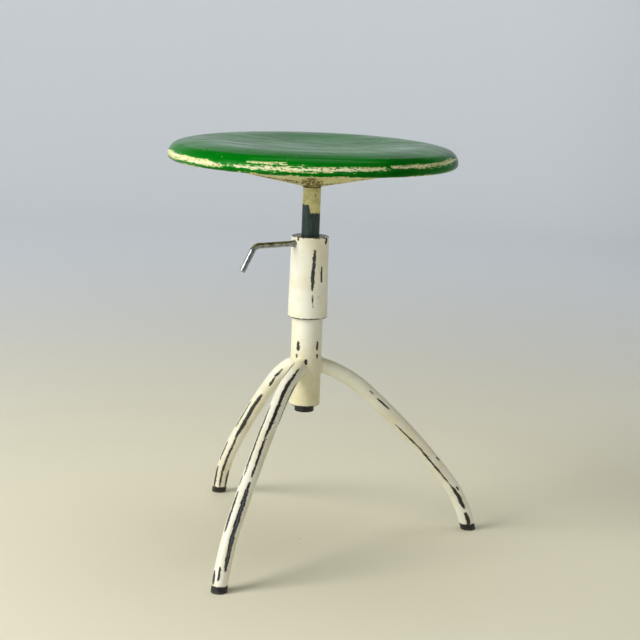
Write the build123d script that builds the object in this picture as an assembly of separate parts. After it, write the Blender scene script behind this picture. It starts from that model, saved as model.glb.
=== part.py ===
from build123d import *
import math
import os

# Height-adjustable clinic stool: a pressed steel seat on a sliding stem, clamped in a three-legged column.
# Millimetres. Z = 0 is the floor and the Z axis is the common axis of seat, stem and column.

# --- Seat ---
SEAT_RADIUS = 175.0
SEAT_TOP_Z = 498.7          # highest ring of the seat, the crest around the dish
CREST_RADIUS = 130.0
CREST_RISE = 19.6           # crest above the widest circle of the rim
RIM_UPPER_TURN = 75.0       # angle of the rim's tight arc above the widest circle
CREST_ARC_RADIUS = 200.0    # of the crest's inner side, before the dish turns hollow
DISH_DEPTH = 8.0
LIP_RADIUS = 134.0          # where the rim, turned under, is level and meets the cone
LIP_DROP = 7.8              # lip below the widest circle
RIM_LOWER_TURN = 82.0       # angle of the rim's tight arc below the widest circle
SHEET = 1.5
CONE_APEX_DROP = 36.74      # the cone's apex, on the axis, below the widest circle
HUB_PLATE_RADIUS = 30.0
HUB_PLATE_THICKNESS = 3.0
HUB_COLLAR_RADIUS = 17.0
HUB_COLLAR_HEIGHT = 15.0
HUB_FLANGE_RADIUS = 32.0
HUB_FLANGE_THICKNESS = 3.0

# --- Stem and its lower guide ---
STEM_RADIUS = 11.0
STEM_WALL = 2.5
STEM_BOTTOM_Z = 243.7
INSERT_LENGTH = 20.0        # of the insert inside the stem
SPIGOT_RADIUS = 7.0
SPIGOT_LENGTH = 13.0
THRUST_WASHER_RADIUS = 14.0
THRUST_WASHER_THICKNESS = 1.0
RETAINING_WASHER_RADIUS = 12.0
RETAINING_WASHER_THICKNESS = 1.6
SCREW_RADIUS = 3.0
SCREW_LENGTH = 19.0
SCREW_HOLE_DEPTH = 22.0
SCREW_HEAD_ACROSS_FLATS = 10.0
SCREW_HEAD_HEIGHT = 4.0

# --- Column and head ---
COLUMN_RADIUS = 19.0
COLUMN_WALL = 2.5
COLUMN_BOTTOM_Z = 177.5
COLUMN_TOP_Z = 329.7
SLEEVE_BOTTOM_Z = 284.3
SLEEVE_TOP_Z = 384.1
SLEEVE_TOP_RADIUS = 22.8
SLEEVE_BOTTOM_RADIUS = 24.3
SLEEVE_LIP = 3.5            # thickness of the sleeve's closed top
SLEEVE_EDGE = 1.2
END_RING_BOTTOM_Z = 174.0
END_RING_BEVEL = 1.5
END_RING_SPIGOT_TOP_Z = 188.7
PLUG_RADIUS = 12.0
PLUG_FLANGE_RADIUS = 12.9
PLUG_FLANGE_THICKNESS = 2.5
PLUG_BOTTOM_Z = 165.6
PLUG_TOP_Z = 194.6
PLUG_EDGE = 1.2

# --- Clamp lever, on a radial axis ---
LEVER_AZIMUTH = -145.0
LEVER_Z = 375.7
LEVER_ROD_RADIUS = 3.6
LEVER_THREAD_RADIUS = 4.0
LEVER_THREAD_END = 28.0     # distances along the lever's axis are from the stem's axis
LEVER_CORNER = 80.0
LEVER_BEND_RADIUS = 12.0
LEVER_BEND_ANGLE = 60.0
LEVER_ARM = 34.5            # from the corner of the two centre lines to the free end
LEVER_EDGE = 0.6
PAD_RADIUS = 3.85
PAD_LENGTH = 3.0
SLEEVE_HOLE_RADIUS = 4.5

# --- Legs: one bent tube shape, at three azimuths ---
LEG_AZIMUTHS = {"front": -113.2, "right": 16.9, "rear": 119.6}
LEG_RADIUS = 9.4
LEG_WALL = 2.0
LEG_START_Z = 230.2         # where the leg's centre line would cross the column's axis
LEG_START_SLOPE = 20.0      # degrees below the horizontal
LEG_STRAIGHT = 25.0         # from the axis to the first bend
LEG_BENDS = ((173.0, 21.3), (963.0, 9.9), (177.0, 25.0))  # radius, angle
FOOT_HEIGHT = 7.0
FOOT_SPIGOT_LENGTH = 16.0
FOOT_EDGE = 1.0

# --- Clearances ---
RUNNING_GAP = 0.05
FREE_GAP = 0.3
END_GAP = 0.2

RIM_Z = SEAT_TOP_Z - CREST_RISE
LIP_Z = RIM_Z - LIP_DROP
APEX_Z = RIM_Z - CONE_APEX_DROP
CONE_SLOPE = (LIP_Z - APEX_Z) / LIP_RADIUS
PLATE_TOP_Z = SEAT_TOP_Z - DISH_DEPTH - SHEET - 0.1
COLUMN_BORE = COLUMN_RADIUS - COLUMN_WALL
SPIGOT_BOTTOM_Z = STEM_BOTTOM_Z - SPIGOT_LENGTH


def upright(shape):
    """A shape drawn in the XY plane, X outward and Y up, stood up in the XZ plane."""
    return Rot(90, 0, 0) * shape


def revolved(outline):
    """A solid of revolution from a closed outline, X outward and Y up."""
    return upright(revolve(make_face(outline), axis=Axis.Y))


def turned(points):
    """A solid of revolution with straight sides, from (radius, height) corners."""
    return revolved(Polyline(*points, close=True))


def ring(inner, outer, bottom, top):
    """A plain ring or, with no inner radius, a disc."""
    return turned([(inner, bottom), (outer, bottom), (outer, top), (inner, top)])


def rim_arcs(end_radius, end_z, tight_turn, inset=0.0):
    """Two tangent arcs, tight then wide, from the rim's widest circle to a level end above or below it."""
    across, rise = SEAT_RADIUS - end_radius, abs(end_z - RIM_Z)
    side = math.copysign(1, end_z - RIM_Z)
    turn = math.radians(tight_turn)
    excess = (across - rise) / (math.cos(turn) + math.sin(turn) - 1)
    tight_radius = across - excess * math.cos(turn)
    tight = JernArc((SEAT_RADIUS - inset, RIM_Z), (0, side), tight_radius - inset, side * tight_turn)
    wide_radius = tight_radius + excess
    return [tight, JernArc(tight @ 1, tight % 1, wide_radius - inset, side * (90 - tight_turn))]


def dish_arcs(inset=0.0):
    """The dish: over the crest, then hollow to the centre, where it is level again."""
    turn = 2 * math.atan(DISH_DEPTH / CREST_RADIUS)
    hollow_radius = CREST_RADIUS / math.sin(turn) - CREST_ARC_RADIUS
    start, angle = Vector(CREST_RADIUS, SEAT_TOP_Z - inset), math.degrees(turn)
    over = JernArc(start, Vector(-1, 0), CREST_ARC_RADIUS - inset, angle)
    return [over, JernArc(over @ 1, over % 1, hollow_radius + inset, -angle)]


def make_seat_top_shell():
    """The pan: dish, crest and rim in one sheet, turned under to its lip."""
    outline = []
    for inset in (0.0, SHEET):
        outline += dish_arcs(inset)
        outline += rim_arcs(CREST_RADIUS, SEAT_TOP_Z, RIM_UPPER_TURN, inset)
        outline += rim_arcs(LIP_RADIUS, LIP_Z, RIM_LOWER_TURN, inset)
    centre_z = SEAT_TOP_Z - DISH_DEPTH
    outline.append(Line((0, centre_z), (0, centre_z - SHEET)))
    outline.append(Line((LIP_RADIUS, LIP_Z), (LIP_RADIUS, LIP_Z + SHEET)))
    return revolved(outline)


def cone_z(radius, above=0.0):
    """Height of the cone's lower surface at a radius, or of a surface above it."""
    return APEX_Z + CONE_SLOPE * radius + above


def make_seat_under_cone():
    inner, outer = STEM_RADIUS, LIP_RADIUS
    return turned([(inner, cone_z(inner)), (outer, cone_z(outer)),
                   (outer, cone_z(outer, SHEET)), (inner, cone_z(inner, SHEET))])


def make_seat_hub_collar():
    """Flanged collar on the stem, lying on the inside of the cone."""
    inner, step, outer = STEM_RADIUS, HUB_COLLAR_RADIUS, HUB_FLANGE_RADIUS
    flange_top = SHEET + HUB_FLANGE_THICKNESS
    top_z = cone_z(inner, SHEET) + HUB_COLLAR_HEIGHT
    return turned([(inner, cone_z(inner, SHEET)), (outer, cone_z(outer, SHEET)),
                   (outer, cone_z(outer, flange_top)), (step, cone_z(step, flange_top)),
                   (step, top_z), (inner, top_z)])


def make_stem_end_insert():
    """Plug in the stem with a spigot below it and a tapped hole for the screw."""
    bore = STEM_RADIUS - STEM_WALL
    blank = ring(0, bore, STEM_BOTTOM_Z, STEM_BOTTOM_Z + INSERT_LENGTH)
    spigot = ring(0, SPIGOT_RADIUS, SPIGOT_BOTTOM_Z, STEM_BOTTOM_Z)
    hole = ring(0, SCREW_RADIUS + RUNNING_GAP, SPIGOT_BOTTOM_Z, SPIGOT_BOTTOM_Z + SCREW_HOLE_DEPTH)
    return blank + spigot - hole


def make_retaining_screw():
    """Hexagon screw, head down."""
    seat_z = SPIGOT_BOTTOM_Z - RETAINING_WASHER_THICKNESS
    head = extrude(RegularPolygon(SCREW_HEAD_ACROSS_FLATS / 2, 6, major_radius=False), -SCREW_HEAD_HEIGHT)
    shank = ring(0, SCREW_RADIUS, seat_z, seat_z + SCREW_LENGTH)
    return Pos(0, 0, seat_z) * head + shank


def radial_rod(radius, start, end):
    """A rod along the lever's axis, between two distances from the stem's axis."""
    rod = extrude(Plane.YZ * Circle(radius), end - start)
    return Rot(0, 0, LEVER_AZIMUTH) * Pos(start, 0, LEVER_Z) * rod


def make_head_sleeve():
    """Slightly tapered sleeve with a closed top, a clearance hole for the stem and one for the lever."""
    body = turned([(0, SLEEVE_BOTTOM_Z), (SLEEVE_BOTTOM_RADIUS, SLEEVE_BOTTOM_Z),
                   (SLEEVE_TOP_RADIUS, SLEEVE_TOP_Z), (0, SLEEVE_TOP_Z)])
    body = fillet(body.edges().filter_by(GeomType.CIRCLE), SLEEVE_EDGE)
    bore = ring(0, COLUMN_RADIUS, SLEEVE_BOTTOM_Z, SLEEVE_TOP_Z - SLEEVE_LIP)
    mouth = ring(0, STEM_RADIUS + FREE_GAP, SLEEVE_TOP_Z - SLEEVE_LIP, SLEEVE_TOP_Z)
    return body - bore - mouth - radial_rod(SLEEVE_HOLE_RADIUS, COLUMN_RADIUS / 2, SLEEVE_BOTTOM_RADIUS + 1)


def make_head_bush():
    """Bush above the column, bored for the stem and tapped for the lever."""
    blank = ring(STEM_RADIUS + RUNNING_GAP, COLUMN_RADIUS, COLUMN_TOP_Z, SLEEVE_TOP_Z - SLEEVE_LIP)
    return blank - radial_rod(LEVER_THREAD_RADIUS + RUNNING_GAP, 0, COLUMN_RADIUS + 1)


def make_column_end_ring():
    """Ring with a bevelled face below the tube and a spigot inside it."""
    bore, spigot = PLUG_RADIUS, COLUMN_BORE
    return turned([(bore, END_RING_BOTTOM_Z), (COLUMN_RADIUS - END_RING_BEVEL, END_RING_BOTTOM_Z),
                   (COLUMN_RADIUS, END_RING_BOTTOM_Z + END_RING_BEVEL), (COLUMN_RADIUS, COLUMN_BOTTOM_Z),
                   (spigot, COLUMN_BOTTOM_Z), (spigot, END_RING_SPIGOT_TOP_Z), (bore, END_RING_SPIGOT_TOP_Z)])


def make_bottom_plug():
    """Rubber plug with a flange under the ring; its top is the stem's lower stop."""
    shank = ring(0, PLUG_RADIUS, PLUG_BOTTOM_Z, PLUG_TOP_Z)
    shank = fillet(shank.edges().group_by(Axis.Z)[0], PLUG_EDGE)
    return shank + ring(0, PLUG_FLANGE_RADIUS, END_RING_BOTTOM_Z - PLUG_FLANGE_THICKNESS, END_RING_BOTTOM_Z)


def make_clamp_pad():
    start = STEM_RADIUS + RUNNING_GAP
    return radial_rod(PAD_RADIUS, start, start + PAD_LENGTH)


def make_lever():
    """Bent rod with a threaded end, in the vertical plane of its axis."""
    tip = STEM_RADIUS + 2 * RUNNING_GAP + PAD_LENGTH
    tangent = LEVER_BEND_RADIUS * math.tan(math.radians(LEVER_BEND_ANGLE / 2))
    shank = Line((tip, LEVER_Z), (LEVER_CORNER - tangent, LEVER_Z))
    bend = JernArc(shank @ 1, shank % 1, LEVER_BEND_RADIUS, -LEVER_BEND_ANGLE)
    arm = Line(bend @ 1, bend @ 1 + (bend % 1) * (LEVER_ARM - tangent))
    rod = swept_rod(Wire([shank, bend, arm]), LEVER_ROD_RADIUS)
    free_end = rod.faces().filter_by(GeomType.PLANE).sort_by(Axis.X)[-1]
    rod = chamfer(free_end.edges(), LEVER_EDGE)
    return Rot(0, 0, LEVER_AZIMUTH) * rod + radial_rod(LEVER_THREAD_RADIUS, tip, LEVER_THREAD_END)


def swept_rod(path, radius):
    """A round rod along a path drawn in the XY plane, stood up in the XZ plane."""
    return upright(sweep(Plane(path @ 0, z_dir=path % 0) * Circle(radius), path))


def leg_path():
    """The leg's centre line, X outward and Y up, from the column's axis to below the floor."""
    slope = math.radians(LEG_START_SLOPE)
    start = Vector(0, LEG_START_Z)
    runs = [Line(start, start + Vector(math.cos(slope), -math.sin(slope)) * LEG_STRAIGHT)]
    for radius, angle in LEG_BENDS:
        runs.append(JernArc(runs[-1] @ 1, runs[-1] % 1, radius, -angle))
    end, down = runs[-1] @ 1, runs[-1] % 1
    runs.append(Line(end, end + down * (end.Y + LEG_RADIUS) / -down.Y))
    return Wire(runs)


def leg_rod(radius):
    """A solid rod along the leg's centre line."""
    return swept_rod(leg_path(), radius)


def slab(bottom, top):
    """A layer of space between two heights, wide enough for the whole stool."""
    return Pos(0, 0, (bottom + top) / 2) * Box(3 * SEAT_RADIUS, 3 * SEAT_RADIUS, top - bottom)


def make_leg():
    """Tube cut to the column's surface at the top and level above its foot."""
    tube = leg_rod(LEG_RADIUS) - leg_rod(LEG_RADIUS - LEG_WALL)
    column = ring(0, COLUMN_RADIUS, 0, SLEEVE_BOTTOM_Z)
    return tube - column - slab(-2 * LEG_RADIUS, FOOT_HEIGHT)


def make_foot():
    """Rubber plug: a pad as wide as the tube, flat on the floor, and a spigot in the tube."""
    pad = leg_rod(LEG_RADIUS) & slab(0, FOOT_HEIGHT)
    pad = fillet(pad.edges().group_by(Axis.Z)[0], FOOT_EDGE)
    spigot = leg_rod(LEG_RADIUS - LEG_WALL) & slab(FOOT_HEIGHT, FOOT_HEIGHT + FOOT_SPIGOT_LENGTH)
    return pad + spigot


def make_parts():
    spigot_hole = SPIGOT_RADIUS + RUNNING_GAP
    thrust_washer_z = STEM_BOTTOM_Z - THRUST_WASHER_THICKNESS
    parts = {
        "seat_top_shell": make_seat_top_shell(),
        "seat_under_cone": make_seat_under_cone(),
        "seat_hub_plate": ring(0, HUB_PLATE_RADIUS, PLATE_TOP_Z - HUB_PLATE_THICKNESS, PLATE_TOP_Z),
        "seat_hub_collar": make_seat_hub_collar(),
        "stem_tube": ring(STEM_RADIUS - STEM_WALL, STEM_RADIUS, STEM_BOTTOM_Z,
                          PLATE_TOP_Z - HUB_PLATE_THICKNESS),
        "stem_end_insert": make_stem_end_insert(),
        "thrust_washer": ring(spigot_hole, THRUST_WASHER_RADIUS, thrust_washer_z, STEM_BOTTOM_Z),
        "guide_piston": ring(spigot_hole, COLUMN_BORE - RUNNING_GAP, SPIGOT_BOTTOM_Z + END_GAP,
                             thrust_washer_z - END_GAP),
        "retaining_washer": ring(SCREW_RADIUS + END_GAP, RETAINING_WASHER_RADIUS,
                                 SPIGOT_BOTTOM_Z - RETAINING_WASHER_THICKNESS, SPIGOT_BOTTOM_Z),
        "retaining_screw": make_retaining_screw(),
        "head_sleeve": make_head_sleeve(),
        "head_bush": make_head_bush(),
        "column_tube": ring(COLUMN_BORE, COLUMN_RADIUS, COLUMN_BOTTOM_Z, COLUMN_TOP_Z),
        "column_end_ring": make_column_end_ring(),
        "bottom_plug": make_bottom_plug(),
        "clamp_pad": make_clamp_pad(),
        "lever": make_lever(),
    }
    leg, foot = make_leg(), make_foot()
    for place, azimuth in LEG_AZIMUTHS.items():
        parts[f"leg_{place}"] = Rot(0, 0, azimuth) * leg
        parts[f"foot_{place}"] = Rot(0, 0, azimuth) * foot
    return parts


os.makedirs("parts", exist_ok=True)
for node, shape in make_parts().items():
    export_step(shape, f"parts/{node}.step")
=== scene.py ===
"""Looks of a worn, enamelled dentist's stool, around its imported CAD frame.

The scene is in metres. Meshes are built, and shaders work, in millimetres.
"""

import math

import bpy
from mathutils import Matrix, Vector


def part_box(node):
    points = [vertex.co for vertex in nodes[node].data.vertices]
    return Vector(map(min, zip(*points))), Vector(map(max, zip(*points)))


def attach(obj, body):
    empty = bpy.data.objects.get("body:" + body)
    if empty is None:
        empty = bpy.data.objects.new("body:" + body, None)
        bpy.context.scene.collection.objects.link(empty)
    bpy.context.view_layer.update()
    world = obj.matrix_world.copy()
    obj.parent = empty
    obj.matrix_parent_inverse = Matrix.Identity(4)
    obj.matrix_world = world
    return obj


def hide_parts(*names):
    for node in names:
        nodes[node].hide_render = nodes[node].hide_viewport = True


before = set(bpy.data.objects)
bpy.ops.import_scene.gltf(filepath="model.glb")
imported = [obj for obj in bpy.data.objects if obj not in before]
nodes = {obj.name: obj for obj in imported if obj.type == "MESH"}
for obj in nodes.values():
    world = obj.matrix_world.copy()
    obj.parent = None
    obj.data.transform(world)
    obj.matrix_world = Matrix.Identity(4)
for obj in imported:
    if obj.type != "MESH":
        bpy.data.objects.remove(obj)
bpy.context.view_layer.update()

# Sizes in millimetres, repeated from the CAD.
COLUMN_RADIUS = 19.0
LEG_RADIUS = 9.4
LEG_START_Z = 230.2
LEG_SLOPE = math.radians(20.0)
LEVER_AZIMUTH = math.radians(-145.0)
LEVER_Z = 375.7
LEVER_ROD_RADIUS = 3.6
LEVER_THREAD_RADIUS = 4.0
THREAD_PITCH = 1.25
THREAD_DEPTH = 0.62
STEM_RADIUS = 11.0
CONE_STEM_Z = 444.7
LEGS = ("front", "right", "rear")

# Where paint ends and wear begins, in millimetres.
RING_WEAR_Z = 174.4
SLEEVE_WEAR_LOW_Z = 284.6
SLEEVE_WEAR_HIGH_Z = 383.6
LEG_WEAR_Z = 7.6
LIP_WEAR_Z = 474.2
STEM_PAINT_END_Z = 412.6
RIM_WEAR_FIRST_RADIUS = 145.0
RIM_WEAR_FULL_RADIUS = 165.0

SLEEVE_MARK_RADIUS = 22.4   # turns degrees round the sleeve into millimetres
RIM_PER_DEGREE = 3.05       # millimetres of rim in one degree
DEGREES = 180 / math.pi
FAR_SIDE = 400.0            # added to a distance, takes the seat's far half beyond every mark


def middle(node):
    """The middle of a node's box at rest."""
    low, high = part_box(node)
    return (Vector(low) + Vector(high)) / 2


def leg_azimuth(leg):
    """The direction of a leg seen from above, in radians, from where its foot stands."""
    foot = middle("foot_" + leg)
    return math.atan2(foot.y, foot.x)


def srgb(red, green, blue):
    """A linear colour from 0-255 values."""
    values = (v / 255 for v in (red, green, blue))
    return (*(v / 12.92 if v < 0.04045 else ((v + 0.055) / 1.055) ** 2.4 for v in values), 1.0)


# Shader arithmetic


class Num:
    """A number that varies over a surface, and takes ordinary arithmetic."""

    def __init__(self, tree, socket):
        self.tree = tree
        self.socket = socket

    def math(self, operation, *others):
        """One Math node on this number and the others."""
        node = self.tree.nodes.new("ShaderNodeMath")
        node.operation = operation
        for value, entry in zip((self, *others), node.inputs):
            connect(self.tree, value, entry)
        return Num(self.tree, node.outputs[0])

    def __add__(self, other):
        return self.math("ADD", other)

    def __sub__(self, other):
        return self.math("SUBTRACT", other)

    def __mul__(self, other):
        return self.math("MULTIPLY", other)

    def __truediv__(self, other):
        return self.math("DIVIDE", other)

    def __rsub__(self, other):
        return self * -1.0 + other

    def __abs__(self):
        return self.math("ABSOLUTE")

    def at_least(self, other):
        return self.math("MAXIMUM", other)

    def at_most(self, other):
        return self.math("MINIMUM", other)

    def sign(self):
        return self.math("SIGN")

    def root(self):
        return self.math("SQRT")

    def angle(self, x):
        """The angle of the point (x, this), in radians."""
        return self.math("ARCTAN2", x)

    def ramp(self, low, high, first=0.0, last=1.0):
        """Smoothly from first, at low, to last, at high."""
        node = self.tree.nodes.new("ShaderNodeMapRange")
        node.interpolation_type = "SMOOTHSTEP"
        connect(self.tree, self, node.inputs["Value"])
        for name, value in (("From Min", low), ("From Max", high), ("To Min", first), ("To Max", last)):
            node.inputs[name].default_value = value
        return Num(self.tree, node.outputs["Result"])


def connect(tree, value, entry):
    """Links a varying value to a socket, or sets a plain one on it."""
    if isinstance(value, Num):
        value = value.socket
    if isinstance(value, bpy.types.NodeSocket):
        tree.links.new(value, entry)
    else:
        entry.default_value = value


class Surface:
    """A material under construction: a Principled shader, with position in millimetres."""

    def __init__(self, name, **plain):
        self.material = bpy.data.materials.new(name)
        self.material.use_nodes = True
        self.tree = self.material.node_tree
        self.shader = self.tree.nodes["Principled BSDF"]
        self.where = self.tree.nodes.new("ShaderNodeTexCoord")
        scale = self.tree.nodes.new("ShaderNodeVectorMath")
        scale.operation = "SCALE"
        scale.inputs["Scale"].default_value = 1000.0
        self.tree.links.new(self.where.outputs["Object"], scale.inputs[0])
        self.place = scale.outputs[0]
        self.x, self.y, self.z = self.split(self.place)
        for socket, value in plain.items():
            self.put(socket.replace("_", " ").title().replace("Ior", "IOR"), value)

    def split(self, vector):
        node = self.tree.nodes.new("ShaderNodeSeparateXYZ")
        self.tree.links.new(vector, node.inputs[0])
        return [Num(self.tree, out) for out in node.outputs]

    def combine(self, x, y, z):
        node = self.tree.nodes.new("ShaderNodeCombineXYZ")
        for value, entry in zip((x, y, z), node.inputs):
            connect(self.tree, value, entry)
        return node.outputs[0]

    def out(self):
        """The distance from the stool's axis."""
        return (self.x * self.x + self.y * self.y).root()

    def azimuth(self):
        """The direction from the stool's axis, in radians from +X."""
        return self.y.angle(self.x)

    def normal(self):
        return self.split(self.where.outputs["Normal"])

    def noise(self, size, detail=3.0, roughness=0.55, at=None, shift=0.0):
        """Noise from about 0 to 1, with features of that size in millimetres.

        The size is one number, or one for each axis. The shift moves the noise so that no two are alike.
        """
        sizes = size if isinstance(size, tuple) else (size, size, size)
        stretch = self.tree.nodes.new("ShaderNodeVectorMath")
        stretch.operation = "MULTIPLY_ADD"
        self.tree.links.new(at or self.place, stretch.inputs[0])
        stretch.inputs[1].default_value = tuple(1 / s for s in sizes)
        stretch.inputs[2].default_value = (shift, shift * 1.7, shift * 2.3)
        node = self.tree.nodes.new("ShaderNodeTexNoise")
        self.tree.links.new(stretch.outputs[0], node.inputs["Vector"])
        node.inputs["Scale"].default_value = 1.0
        node.inputs["Detail"].default_value = detail
        node.inputs["Roughness"].default_value = roughness
        return Num(self.tree, node.outputs["Fac"])

    def blend(self, amount, first, second):
        """A colour or number between two."""
        node = self.tree.nodes.new("ShaderNodeMix")
        node.data_type = "RGBA"
        connect(self.tree, amount, node.inputs["Factor"])
        connect(self.tree, first, node.inputs[6])
        connect(self.tree, second, node.inputs[7])
        return node.outputs[2]

    def put(self, socket, value):
        connect(self.tree, value, self.shader.inputs[socket])

    def relief(self, height, strength=1.0):
        """Bumps of that height in millimetres."""
        node = self.tree.nodes.new("ShaderNodeBump")
        node.inputs["Strength"].default_value = strength
        node.inputs["Distance"].default_value = 0.001
        connect(self.tree, height, node.inputs["Height"])
        self.tree.links.new(node.outputs[0], self.shader.inputs["Normal"])

    def streak(self, across, along, mark, unit):
        """How far inside a straight scratch a point is: widest in its middle, cut off at both ends."""
        low, low_place, high, high_place, half = mark
        middle, reach = (low + high) / 2, (high - low) / 2
        lean = (high_place - low_place) * unit / (high - low)
        off_axis = abs(across - low_place * unit - (along - low) * lean)
        from_middle = abs(along - middle)
        part = from_middle / reach
        narrowing = part * part * part * part * 0.7 * half
        beyond = (from_middle - reach).at_least(0.0) * 2.0
        return half - narrowing - beyond - off_axis

    def deepest(self, across, along, marks, unit=1.0):
        """How far inside the nearest of several scratches a point is."""
        fields = [self.streak(across, along, mark, unit) for mark in marks]
        result = fields[0]
        for field in fields[1:]:
            result = result.at_least(field)
        return result


def give(material, *names):
    """Puts a material on CAD nodes."""
    for name in names:
        mesh = nodes[name].data
        mesh.materials.clear()
        mesh.materials.append(material)


# Finishes


def cream_enamel(name, radius, thin, bare=(), chips=0.735, lower_edge=None, upper_edge=None, leg=None):
    """Old cream enamel, worn through to dark oxide along thin scratches, and to steel inside bare ones.

    The radius is the tube's. A higher chips value gives fewer of them. Paint is lost at the edges' heights.
    """
    s = Surface(name, coat_roughness=0.12, specular_ior_level=0.5)
    s.put("Coat Weight", 0.25)
    if leg:
        azimuth = leg_azimuth(leg)
        nx, ny, nz = s.normal()
        outward = nx * math.cos(azimuth) + ny * math.sin(azimuth)
        sideways = ny * math.cos(azimuth) - nx * math.sin(azimuth)
        upward = (nz * nz + outward * outward).root() * (nz + 1e-4).sign()
        around = sideways.angle(upward) * radius
        streaky = s.noise(9.0, 4.0, 0.6, s.combine(around * 2.2, s.z, 0.0), 3.0)
        fine = s.noise(1.7, 4.0, 0.75, s.combine(around, s.z * 0.8, s.x), 7.0)
    else:
        around = s.azimuth() * radius
        streaky = s.noise((4.0, 4.0, 9.0), 4.0, 0.6, shift=3.0)
        fine = s.noise(1.6, 4.0, 0.75, shift=7.0)
    ragged = (fine - 0.5) * 5.4 + (streaky - 0.5) * 3.2 + 0.35
    per_degree = math.radians(radius)
    across = around + (s.noise(45.0, 1.0, 0.5, shift=17.0) - 0.5) * 3.0
    depth = s.deepest(across, s.z, thin, per_degree) + ragged
    if bare:
        wide = s.deepest(across, s.z, bare, per_degree)
        depth = depth.at_least(wide + ragged)
        steel = (wide + (fine - 0.5) * 4.0 - 0.9).ramp(0.0, 0.6)
    specks = s.noise(4.0, 3.0, 0.62, shift=21.0)
    depth = depth.at_least((specks - chips + depth.ramp(-3.5, -0.5, 0.0, 0.06)) * 30.0)
    if lower_edge is not None:
        depth = depth.at_least(lower_edge + 0.5 - s.z + (streaky - 0.42) * 4.0)
    if upper_edge is not None:
        depth = depth.at_least(s.z - upper_edge + (streaky - 0.52) * 5.0)
    patches = s.noise(38.0, 2.0, 0.5, shift=2.0)
    cloud = s.noise(9.0, 4.0, 0.6, shift=5.0)
    paint = s.blend(patches.ramp(0.38, 0.66), srgb(243, 240, 224), srgb(235, 229, 203))
    paint = s.blend(cloud.ramp(0.52, 0.78, 0.0, 0.45), paint, srgb(218, 209, 172))
    # Painted shade and stain: the cream turns darker olive towards the bottom of the column and ring, and on
    # the legs near their joint with the column, where shade falls.
    shade_and_grime = s.z.ramp(200.0, 285.0, 0.6, 0.0) if not leg else s.z.ramp(215.0, 245.0, 0.0, 0.4)
    paint = s.blend(shade_and_grime * cloud.ramp(0.25, 0.6, 0.6, 1.0), paint, srgb(212, 202, 148))
    rust = s.blend(fine.ramp(0.4, 0.7), srgb(34, 28, 26), srgb(70, 54, 44))
    worn = s.blend(fine.ramp(0.35, 0.65), srgb(15, 15, 16), srgb(36, 35, 36))
    worn = s.blend(cloud.ramp(0.55, 0.7, 0.0, 0.6), worn, rust)
    if bare:
        grey = s.blend(streaky.ramp(0.3, 0.7), srgb(62, 68, 76), srgb(108, 114, 121))
        worn = s.blend(steel, worn, grey)
        s.put("Metallic", steel * 0.35)
    gone = depth.ramp(-0.12, 0.12)
    halo = depth.ramp(-1.1, 0.0, 0.0, 0.55)
    paint = s.blend(halo, paint, srgb(196, 186, 152))
    s.put("Base Color", s.blend(gone, paint, worn))
    s.put("Roughness", gone * 0.22 + cloud * 0.16 + 0.24)
    s.relief(patches * 0.25 + s.noise(3.0, 2.0, 0.5, shift=9.0) * 0.035 - gone * 0.10, 0.9)
    return s.material


def green_enamel():
    """Glossy deep green enamel, rubbed through to the cream undercoat along the rim."""
    s = Surface("green_enamel", ior=1.35, specular_ior_level=0.2, specular_tint=srgb(20, 170, 60))
    azimuth = s.azimuth() * DEGREES
    arc = azimuth * RIM_PER_DEGREE
    rubbed = s.noise(7.0, 5.0, 0.7, s.combine(arc * 0.2, s.z * 2.2, 0.0), 1.0)
    fine = s.noise(2.0, 4.0, 0.7, s.combine(arc * 0.45, s.z, s.x * 0.01), 4.0)
    ragged = (rubbed - 0.5) * 13.0 + (fine - 0.5) * 8.0
    band = s.deepest(s.z, azimuth, [
        (-178, 483, -125, 481, 3.2), (-125, 481, -60, 484, 2.2), (-60, 485, -10, 487, 1.4),
        (-115, 487, -100, 487, 0.4), (25, 485, 105, 482, 1.4), (95, 482, 175, 481, 1.6),
    ]) + ragged - s.out().ramp(RIM_WEAR_FIRST_RADIUS, RIM_WEAR_FULL_RADIUS, 30.0, 0.0)
    lip = (LIP_WEAR_Z - s.z) * 0.8 + (rubbed - 0.5) * 9.0 + (fine - 0.5) * 5.0
    specks = (s.noise(4.4, 3.0, 0.6, shift=15.0) - 0.755) * 40.0
    cream = band.at_least(lip).at_least(specks).ramp(-0.35, 0.25)
    deep = (band - 1.2).at_most((fine - 0.57) * 20.0).ramp(-0.1, 0.5)
    cloud = s.noise(60.0, 3.0, 0.5, shift=8.0)
    paint = s.blend(cloud.ramp(0.35, 0.7), srgb(0, 106, 12), srgb(0, 88, 9))
    paint = s.blend(band.ramp(-3.0, 0.0, 0.0, 0.5), paint, srgb(52, 140, 50))
    rubs = s.noise((30.0, 1.6, 30.0), 3.0, 0.6, shift=33.0)
    rubs = rubs.at_least(s.noise((1.8, 26.0, 30.0), 3.0, 0.6, shift=41.0))
    paint = s.blend(rubs.ramp(0.68, 0.78, 0.0, 0.22), paint, srgb(60, 140, 66))
    under = s.blend(rubbed.ramp(0.4, 0.62), srgb(238, 234, 198), srgb(206, 206, 138))
    under = s.blend(deep, under, srgb(58, 56, 44))
    s.put("Base Color", s.blend(cream, paint, under))
    smears = s.noise((46.0, 12.0, 46.0), 4.0, 0.6, shift=12.0)
    s.put("Roughness", smears.ramp(0.3, 0.75, 0.14, 0.30) + cream * 0.3 + rubs.ramp(0.64, 0.78, 0.0, 0.1))
    waves = s.noise(26.0, 1.0, 0.4, shift=6.0)
    s.relief(waves * 0.10 + s.noise(2.6, 2.0, 0.5, shift=2.0) * 0.012 - cream * 0.09, 0.8)
    return s.material


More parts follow.
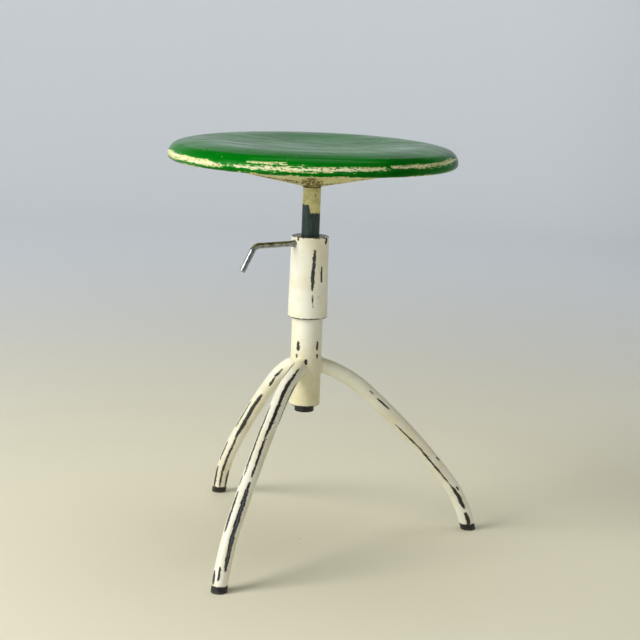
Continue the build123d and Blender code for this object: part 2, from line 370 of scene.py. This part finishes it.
def under_enamel():
    """Thinner yellowish cream enamel under the seat, stained and rusty round the stem's weld."""
    s = Surface("under_enamel", specular_ior_level=0.2)
    out = s.out()
    fine = s.noise(1.6, 4.0, 0.7, shift=2.0)
    cloud = s.noise(13.0, 4.0, 0.6, shift=5.0)
    paint = s.blend(cloud.ramp(0.35, 0.7), srgb(208, 204, 124), srgb(188, 182, 98))
    grain = s.noise((2.2, 20.0, 20.0), 4.0, 0.7, shift=14.0)
    near = out + s.y.ramp(-8.0, 8.0, 0.0, FAR_SIDE)
    flow = s.deepest(s.x, near, [(10, 0, 110, 0, 13)])
    joint = flow.at_most((grain - 0.47) * 20.0).at_least((19.0 - out) * 0.3 + (grain - 0.5) * 8.0)
    chips = s.deepest(near, s.x, [
        (-70, 90, -40, 75, 12), (-40, 75, -15, 55, 18), (10, 35, 35, 60, 10), (45, 90, 70, 100, 4)])
    chips = chips.at_most((grain - 0.48) * 20.0)
    worn = joint.at_least(chips).at_least((s.noise(5.0, 3.0, 0.6, shift=11.0) - 0.72) * 30.0)
    gone = worn.ramp(0.2, 0.6)
    colour = s.blend(worn.ramp(-1.0, 0.4, 0.0, 0.7), paint, srgb(160, 146, 88))
    dark = s.blend(fine.ramp(0.4, 0.6), srgb(54, 50, 36), srgb(116, 88, 52))
    s.put("Base Color", s.blend(gone, colour, dark))
    s.put("Roughness", gone * 0.3 + cloud * 0.2 + 0.3)
    s.relief(cloud * 0.25 + fine * 0.05 - gone * 0.12, 0.9)
    return s.material


def stem_finish():
    """Steel tube that slides in the head, with cream enamel left on its top end."""
    s = Surface("stem_steel", specular_ior_level=0.5)
    azimuth = s.azimuth() * DEGREES
    fine = s.noise(1.8, 4.0, 0.7, shift=3.0)
    drawn = s.noise((1.2, 1.2, 26.0), 4.0, 0.65, shift=8.0)
    cloud = s.noise(8.0, 3.0, 0.6, shift=5.0)
    step = azimuth.ramp(-108.0, -92.0, 10.0, 0.0)
    line = s.z - step - STEM_PAINT_END_Z + (fine - 0.5) * 4.0 + (cloud - 0.5) * 5.0
    painted = line.ramp(-0.15, 0.15)
    chips = s.deepest(s.azimuth() * STEM_RADIUS, s.z, [
        (418, -145, 429, -145, 0.5), (433, -65, 437, -65, 0.5)], math.radians(STEM_RADIUS))
    chips = chips + (fine - 0.5) * 2.6
    specks = (s.noise(4.0, 3.0, 0.6, shift=31.0) - 0.72) * 30.0
    painted = painted * (1.0 - chips.at_least(specks).ramp(-0.1, 0.1))
    steel = s.blend(drawn.ramp(0.32, 0.68), srgb(46, 58, 56), srgb(70, 82, 78))
    steel = s.blend(cloud.ramp(0.5, 0.72, 0.0, 0.7), steel, srgb(44, 52, 48))
    cream = s.blend(cloud.ramp(0.35, 0.7), srgb(218, 211, 152), srgb(194, 185, 122))
    cream = s.blend(line.ramp(0.0, 1.6, 0.55, 0.0), cream, srgb(120, 110, 78))
    s.put("Base Color", s.blend(painted, steel, cream))
    s.put("Metallic", (1.0 - painted) * 0.75)
    s.put("Roughness", drawn * 0.22 + 0.26)
    s.relief(painted * 0.16 + drawn * 0.015 + cloud * 0.06, 0.8)
    return s.material


def bright_steel():
    """Plated rod, bright with fine wear and a little grime."""
    s = Surface("bright_steel", metallic=1.0)
    cloud = s.noise(7.0, 4.0, 0.6, shift=4.0)
    fine = s.noise(1.2, 4.0, 0.7, shift=6.0)
    bright = s.blend(cloud.ramp(0.4, 0.7), srgb(158, 162, 162), srgb(112, 118, 118))
    spots = (cloud - 0.62).at_least((fine - 0.68) * 0.8).ramp(0.0, 0.08, 0.0, 0.65)
    s.put("Base Color", s.blend(spots, bright, srgb(70, 68, 62)))
    s.put("Roughness", cloud * 0.16 + spots * 0.2 + 0.08)
    s.relief(fine * 0.012 + cloud * 0.03, 0.8)
    return s.material


def rubber():
    """Hard black rubber, dusty and faintly wavy."""
    s = Surface("black_rubber", specular_ior_level=0.5)
    fine = s.noise(1.4, 4.0, 0.7, shift=4.0)
    cloud = s.noise(6.0, 3.0, 0.6, shift=9.0)
    dust = (4.5 - s.z) * 0.12 + (fine - 0.5) * 2.4 + (cloud - 0.5) * 1.5
    base = s.blend(cloud.ramp(0.4, 0.7), srgb(13, 13, 13), srgb(28, 27, 26))
    s.put("Base Color", s.blend(dust.ramp(-0.1, 1.0, 0.0, 0.45), base, srgb(120, 114, 98)))
    s.put("Roughness", fine * 0.25 + 0.34)
    s.relief(cloud * 0.30 + fine * 0.05, 0.9)
    return s.material


def plain_metal(name, light, dark, roughness, metallic=1.0):
    """A machined surface with fine turning marks and slight staining."""
    s = Surface(name)
    out = s.out()
    turned = s.noise(0.7, 2.0, 0.6, s.combine(out, s.z, 0.0), 2.0)
    cloud = s.noise(6.0, 4.0, 0.6, shift=5.0)
    s.put("Metallic", metallic)
    s.put("Base Color", s.blend(cloud.ramp(0.35, 0.7), light, dark))
    s.put("Roughness", turned * 0.18 + cloud * 0.12 + roughness - 0.15)
    s.relief(turned * 0.02, 0.7)
    return s.material


# Scratches: (low height, degrees round the tube there, high height, degrees there, half width).
# Degrees round a leg start at its upper side, and round the column at the +X axis.
# The ones at the back are guesses in the same style.
SLEEVE_MARKS = [
    (320, -80, 370, -75, 1.3), (300, -75, 315, -80, 0.3), (330, -50, 350, -50, 0.8),
    (376, -35, 384, -30, 2.0), (380, -130, 384, -130, 1.0), (290, 60, 330, 60, 1.0),
    (340, 120, 365, 120, 0.8),
]
SLEEVE_BARE = [(320, -80, 370, -75, 1.5)]
COLUMN_MARKS = [
    (244, -120, 256, -120, 1.6), (235, -125, 240, -125, 1.0), (245, -45, 256, -45, 1.4),
    (235, -45, 240, -45, 0.9), (228, -90, 234, -90, 1.4), (245, 60, 265, 60, 0.9), (190, 20, 200, 20, 1.0),
]
FRONT_THIN = [
    (120, 35, 160, 30, 1.0), (160, 30, 225, 35, 1.7), (170, 100, 210, 90, 0.6),
    (215, -45, 230, -25, 0.8), (120, -30, 190, -35, 1.4), (110, -45, 120, -45, 1.2),
    (65, -30, 105, -30, 1.6), (10, -35, 25, -40, 2.2), (15, 5, 30, 5, 1.3),
]
FRONT_BARE = [(25, 45, 115, 35, 2.2)]
REAR_THIN = [
    (180, 135, 210, 105, 0.9), (10, 150, 90, 135, 1.1), (90, 130, 165, 125, 2.2),
    (8, -155, 35, -160, 1.6), (105, 75, 150, 75, 0.9), (8, 100, 40, 90, 1.9),
    (50, 85, 80, 75, 1.2), (60, 10, 170, 20, 1.2),
]
REAR_BARE = [(20, -40, 100, -35, 1.8)]
RIGHT_THIN = [
    (60, -100, 145, -120, 0.7), (30, -95, 60, -95, 2.1), (7, -95, 25, -95, 2.4), (95, -45, 100, -45, 0.9),
    (55, -65, 60, -65, 1.0), (165, -70, 180, -70, 0.6), (185, -70, 190, -70, 0.2), (120, 35, 200, 30, 1.1),
]
RIGHT_BARE = [(25, 40, 110, 35, 1.9)]

sleeve_enamel = cream_enamel("sleeve_enamel", SLEEVE_MARK_RADIUS, SLEEVE_MARKS, SLEEVE_BARE,
                             lower_edge=SLEEVE_WEAR_LOW_Z, upper_edge=SLEEVE_WEAR_HIGH_Z)
column_enamel = cream_enamel("column_enamel", COLUMN_RADIUS, COLUMN_MARKS)
ring_enamel = cream_enamel("ring_enamel", COLUMN_RADIUS, COLUMN_MARKS[-1:], chips=0.68,
                           lower_edge=RING_WEAR_Z)
give(sleeve_enamel, "head_sleeve")
give(column_enamel, "column_tube")
give(ring_enamel, "column_end_ring")
leg_marks = {
    "front": (FRONT_THIN, FRONT_BARE),
    "right": (RIGHT_THIN, RIGHT_BARE),
    "rear": (REAR_THIN, REAR_BARE),
}
for leg, (thin, bare) in leg_marks.items():
    enamel = cream_enamel(leg + "_leg_enamel", LEG_RADIUS, thin, bare, lower_edge=LEG_WEAR_Z, leg=leg)
    give(enamel, "leg_" + leg)
give(green_enamel(), "seat_top_shell")
under = under_enamel()
give(under, "seat_under_cone")
stem = stem_finish()
give(stem, "stem_tube")
chrome = bright_steel()
give(chrome, "lever")
give(rubber(), "foot_front", "foot_right", "foot_rear", "bottom_plug")
give(plain_metal("plain_steel", srgb(150, 150, 146), srgb(108, 106, 100), 0.45),
     "seat_hub_plate", "seat_hub_collar", "stem_end_insert")
give(plain_metal("zinc_steel", srgb(188, 190, 192), srgb(140, 142, 146), 0.40),
     "thrust_washer", "retaining_washer", "retaining_screw")
give(plain_metal("pad_brass", srgb(196, 160, 88), srgb(140, 110, 58), 0.40), "clamp_pad")
give(plain_metal("guide_plastic", srgb(226, 222, 208), srgb(204, 198, 180), 0.55, 0.0),
     "guide_piston", "head_bush")


# Pieces


def mesh_piece(name, points, faces, material):
    """A smooth mesh piece from points in millimetres."""
    mesh = bpy.data.meshes.new(name)
    mesh.from_pydata([tuple(c / 1000 for c in p) for p in points], [], faces)
    mesh.materials.append(material)
    mesh.shade_smooth()
    piece = bpy.data.objects.new(name, mesh)
    bpy.context.scene.collection.objects.link(piece)
    return piece


def grid_faces(rows, columns):
    """Quads between rows of points, each row closed on itself."""
    faces = []
    for i in range(rows - 1):
        for j in range(columns):
            k = (j + 1) % columns
            low, high = i * columns, (i + 1) * columns
            faces.append((low + j, low + k, high + k, high + j))
    return faces


def leg_weld(leg, fillet=3.6, sunk=0.12, steps=72, rows=7):
    """The painted weld that rounds the corner between a leg and the column, its edges sunk into both."""
    azimuth = leg_azimuth(leg)
    out = Vector((math.cos(azimuth), math.sin(azimuth), 0))
    side = Vector((-math.sin(azimuth), math.cos(azimuth), 0))
    up = Vector((0, 0, 1))
    run = out * math.cos(LEG_SLOPE) - up * math.sin(LEG_SLOPE)
    rise = out * math.sin(LEG_SLOPE) + up * math.cos(LEG_SLOPE)
    start = up * LEG_START_Z

    def on_column(radius, angle):
        """Where a line along the leg, at that radius and angle round its centre, meets the column."""
        across = radius * math.sin(angle)
        height = radius * math.cos(angle)
        reach = math.sqrt(max(COLUMN_RADIUS**2 - across**2, 0.0))
        along = (reach - height * math.sin(LEG_SLOPE)) / math.cos(LEG_SLOPE)
        return start + run * along + rise * height + side * across

    points = []
    for row in range(rows):
        t = row / (rows - 1)
        for step in range(steps):
            angle = step * 2 * math.pi / steps
            bead = fillet * (1 + 0.10 * math.sin(3 * angle + azimuth) + 0.06 * math.sin(7 * angle))
            radial = rise * math.cos(angle) + side * math.sin(angle)
            corner = on_column(LEG_RADIUS, angle)
            on_leg = corner + run * bead - radial * sunk
            beside = on_column(LEG_RADIUS + bead, angle)
            beside -= Vector((beside.x, beside.y, 0)).normalized() * sunk
            points.append(on_leg * (1 - t) ** 2 + (corner + radial * 0.15) * 2 * t * (1 - t) + beside * t**2)
    piece = mesh_piece("leg_weld_" + leg, points, grid_faces(rows, steps), column_enamel)
    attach(piece, "base")


def seat_weld(steps=96, rows=9):
    """The lumpy weld round the stem where it meets the seat's cone."""
    points = []
    for row in range(rows):
        t = row / (rows - 1)
        for step in range(steps):
            angle = step * 2 * math.pi / steps
            lumps = 0.35 * math.sin(17 * angle) + 0.25 * math.sin(29 * angle + 1)
            bead = 2.5 + lumps + 0.2 * math.sin(5 * angle)
            radius = STEM_RADIUS - 0.15 + bead * t**1.6
            height = CONE_STEM_Z + 0.3 + 0.12 * bead - bead * (1 - t) ** 1.6
            points.append((radius * math.cos(angle), radius * math.sin(angle), height))
    piece = mesh_piece("seat_weld", points, grid_faces(rows, steps), under)
    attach(piece, "seat")


def lever_rod(steps=40):
    """The bent lever with its turned thread."""
    tip, thread_end, corner = 14.1, 28.0, 80.0
    bend_radius, bend, arm, edge = 12.0, math.radians(60.0), 34.5, 0.6
    tangent = bend_radius * math.tan(bend / 2)
    bend_start = corner - tangent
    count = int((thread_end - tip) / THREAD_PITCH * 12)
    stations = [(tip + (thread_end - tip) * i / count, 0.0, 0.0, "thread") for i in range(count + 1)]
    stations.append((thread_end + 0.4, 0.0, 0.0, "rod"))
    rod_start = thread_end + 1
    stations.extend((rod_start + (bend_start - rod_start) * i / 12, 0.0, 0.0, "rod") for i in range(13))
    for i in range(1, 17):
        angle = bend * i / 16
        drop = -bend_radius * (1 - math.cos(angle))
        stations.append((bend_start + bend_radius * math.sin(angle), drop, angle, "rod"))
    x, y = stations[-1][:2]
    length = arm - tangent
    rounding = edge / length
    arm_parts = ((0.5, "rod"), (0.94, "rod"), (1 - rounding, "rod"), (1 - rounding / 2, "edge"), (1.0, "end"))
    for part, shape in arm_parts:
        reach = length * part
        stations.append((x + math.cos(bend) * reach, y - math.sin(bend) * reach, bend, shape))
    radii = {"rod": LEVER_ROD_RADIUS, "edge": LEVER_ROD_RADIUS - 0.18, "end": LEVER_ROD_RADIUS - edge}
    points = []
    for along, drop, angle, shape in stations:
        for step in range(steps):
            turn = step * 2 * math.pi / steps
            if shape == "thread":
                phase = (along / THREAD_PITCH - step / steps) % 1.0
                groove = min(1.0, abs(2 * phase - 1) * 1.25)
                radius = LEVER_THREAD_RADIUS - THREAD_DEPTH * groove
            else:
                radius = radii[shape]
            up = radius * math.cos(turn)
            r = along + up * math.sin(angle)
            points.append((r, radius * math.sin(turn), LEVER_Z + drop + up * math.cos(angle)))
    spin = Matrix.Rotation(LEVER_AZIMUTH, 3, "Z")
    points = [spin @ Vector(p) for p in points]
    faces = grid_faces(len(stations), steps)
    faces.append(tuple(reversed(range(steps))))
    last = (len(stations) - 1) * steps
    faces.append(tuple(range(last, last + steps)))
    piece = mesh_piece("lever_rod", points, faces, chrome)
    piece.data.polygons[-1].use_smooth = False
    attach(piece, "lever")
    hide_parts("lever")


for leg in LEGS:
    leg_weld(leg)
seat_weld()
lever_rod()


# Room, light and camera


def stage_finish():
    """Pale matt floor, warmer than the wall, which glows softly, less on the right and in front."""
    s = Surface("stage_pale", specular_ior_level=0.2)
    out = s.out()
    rise = (out + s.noise(90.0, 4.0) * 60.0).ramp(300.0, 2600.0)
    s.put("Base Color", s.blend(rise, srgb(226, 221, 197), srgb(205, 210, 214)))
    s.put("Roughness", 0.9)
    s.put("Emission Color", srgb(226, 229, 232))
    left = s.x.ramp(600.0, 2000.0, 0.27, 0.05)
    behind = s.y.ramp(-2400.0, 0.0, 0.35, 1.0)
    s.put("Emission Strength", rise * left * behind)
    return s.material


def backdrop(wall=3600.0, turn=700.0, top=2600.0, steps=96):
    """Round floor that turns up into a wall on every side."""
    profile = [(0.0, 0.0), (600.0, 0.0), (1600.0, 0.0), (wall - turn, 0.0)]
    for i in range(1, 13):
        angle = math.radians(90 * i / 12)
        profile.append((wall - turn + turn * math.sin(angle), turn * (1 - math.cos(angle))))
    profile.append((wall, top))
    points = []
    for radius, height in profile:
        for step in range(steps):
            angle = step * 2 * math.pi / steps
            points.append((max(radius, 1.0) * math.cos(angle), max(radius, 1.0) * math.sin(angle), height))
    faces = [*grid_faces(len(profile), steps), tuple(range(steps))]
    mesh_piece("backdrop", points, faces, stage_finish())


def softbox(name, place, target, size, power, colour):
    """A square soft light aimed at a point, all in metres."""
    data = bpy.data.lights.new(name, "AREA")
    data.shape = "RECTANGLE"
    data.size, data.size_y = size
    data.energy = power
    data.color = colour
    light = bpy.data.objects.new(name, data)
    light.location = place
    light.rotation_euler = (Vector(target) - Vector(place)).to_track_quat("-Z", "Y").to_euler()
    bpy.context.scene.collection.objects.link(light)


def camera():
    """The viewpoint: a little above the seat, from the front."""
    pitch, yaw, roll = math.radians(10.78), math.radians(0.42), math.radians(2.16)
    forward = Vector((math.sin(yaw) * math.cos(pitch), math.cos(yaw) * math.cos(pitch), -math.sin(pitch)))
    level = Vector((math.cos(yaw), -math.sin(yaw), 0))
    upright = level.cross(forward)
    right = level * math.cos(roll) + upright * math.sin(roll)
    up = upright * math.cos(roll) - level * math.sin(roll)
    data = bpy.data.cameras.new("camera")
    data.sensor_width = 36.0
    data.lens = 99.6
    data.clip_end = 50.0
    eye = bpy.data.objects.new("camera", data)
    turn = Matrix((right, up, -forward)).transposed().to_4x4()
    eye.matrix_world = Matrix.Translation((0.0, -2.135, 0.6867)) @ turn
    bpy.context.scene.collection.objects.link(eye)
    bpy.context.scene.camera = eye


backdrop()
softbox("key", (-2.3, -1.2, 1.7), (0.0, 0.0, 0.3), (1.5, 1.5), 80.0, (1.0, 0.99, 0.97))
softbox("front", (-0.9, -3.0, 1.5), (0.0, 0.0, 0.25), (1.4, 1.2), 7.0, (1.0, 0.99, 0.97))
softbox("fill", (1.9, -0.4, 0.5), (0.0, 0.0, 0.3), (1.2, 0.8), 2.0, (1.0, 0.84, 0.5))
softbox("top", (0.1, 0.2, 2.3), (0.0, 0.1, 0.3), (1.4, 1.4), 15.0, (1.0, 1.0, 1.0))
camera()

world = bpy.data.worlds.new("room")
world.use_nodes = True
world.node_tree.nodes["Background"].inputs["Color"].default_value = srgb(226, 231, 236)
world.node_tree.nodes["Background"].inputs["Strength"].default_value = 0.08
bpy.context.scene.world = world
bpy.context.scene.view_settings.view_transform = "Standard"
